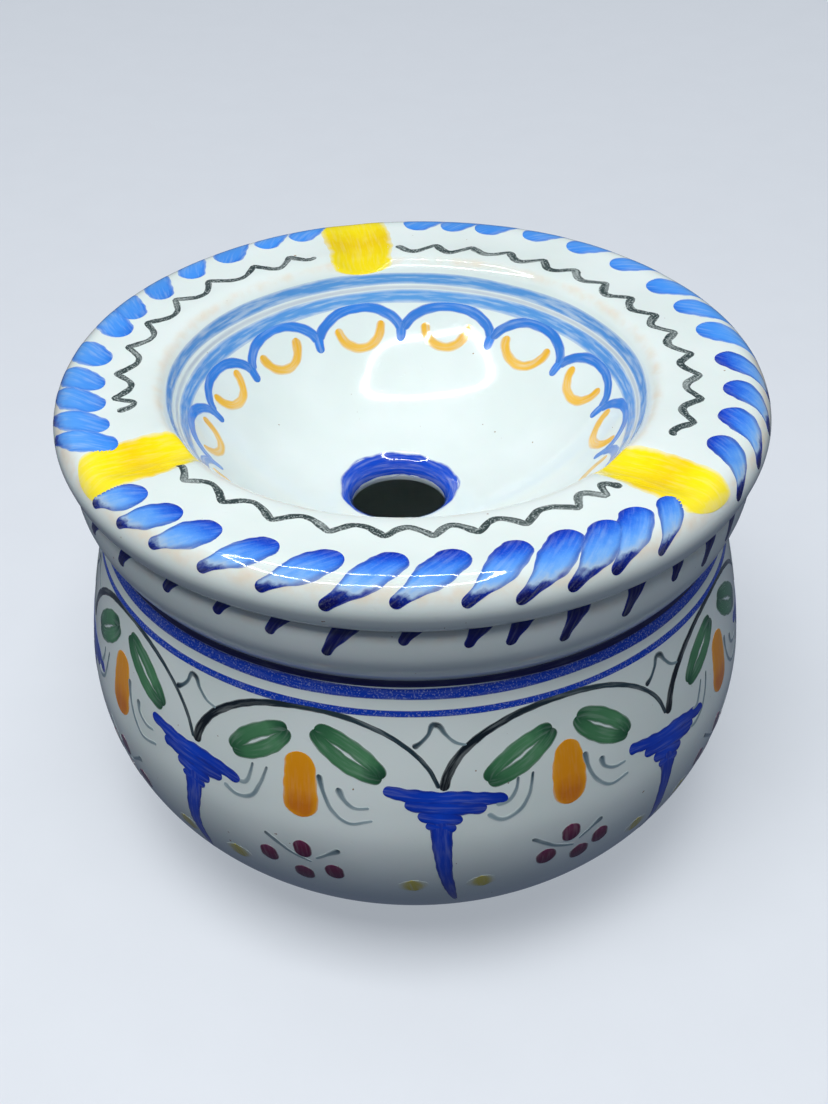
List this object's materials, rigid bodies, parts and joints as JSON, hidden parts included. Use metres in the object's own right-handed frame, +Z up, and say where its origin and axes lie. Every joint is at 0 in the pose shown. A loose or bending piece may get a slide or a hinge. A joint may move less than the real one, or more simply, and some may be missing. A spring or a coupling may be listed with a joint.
{
  "type": "lidded ashtray",
  "caption": "Glazed ceramic lidded ashtray: round-bellied pot with a flared rim under a lift-off funnel lid that has a central hole and cigarette rests.",
  "frame": {"origin": "centre of the foot ring, on the surface the pot stands on", "axes": "+Z up along the axis of the pot and the lid; -Y is the viewer's side, where the lid has no rest"},
  "size_m": [0.139, 0.139, 0.1035],
  "materials": {
    "pot_glaze": "gloss",
    "lid_glaze": "gloss"
  },
  "bodies": {
    "pot": {"pot": "pot_glaze"},
    "lid": {"lid": "lid_glaze"}
  },
  "joints": [
    {"name": "lid_lift", "type": "slide", "parent": "pot", "child": "lid", "axis": [0, 0, 1], "range_m": [0, 0.06]}
  ]
}
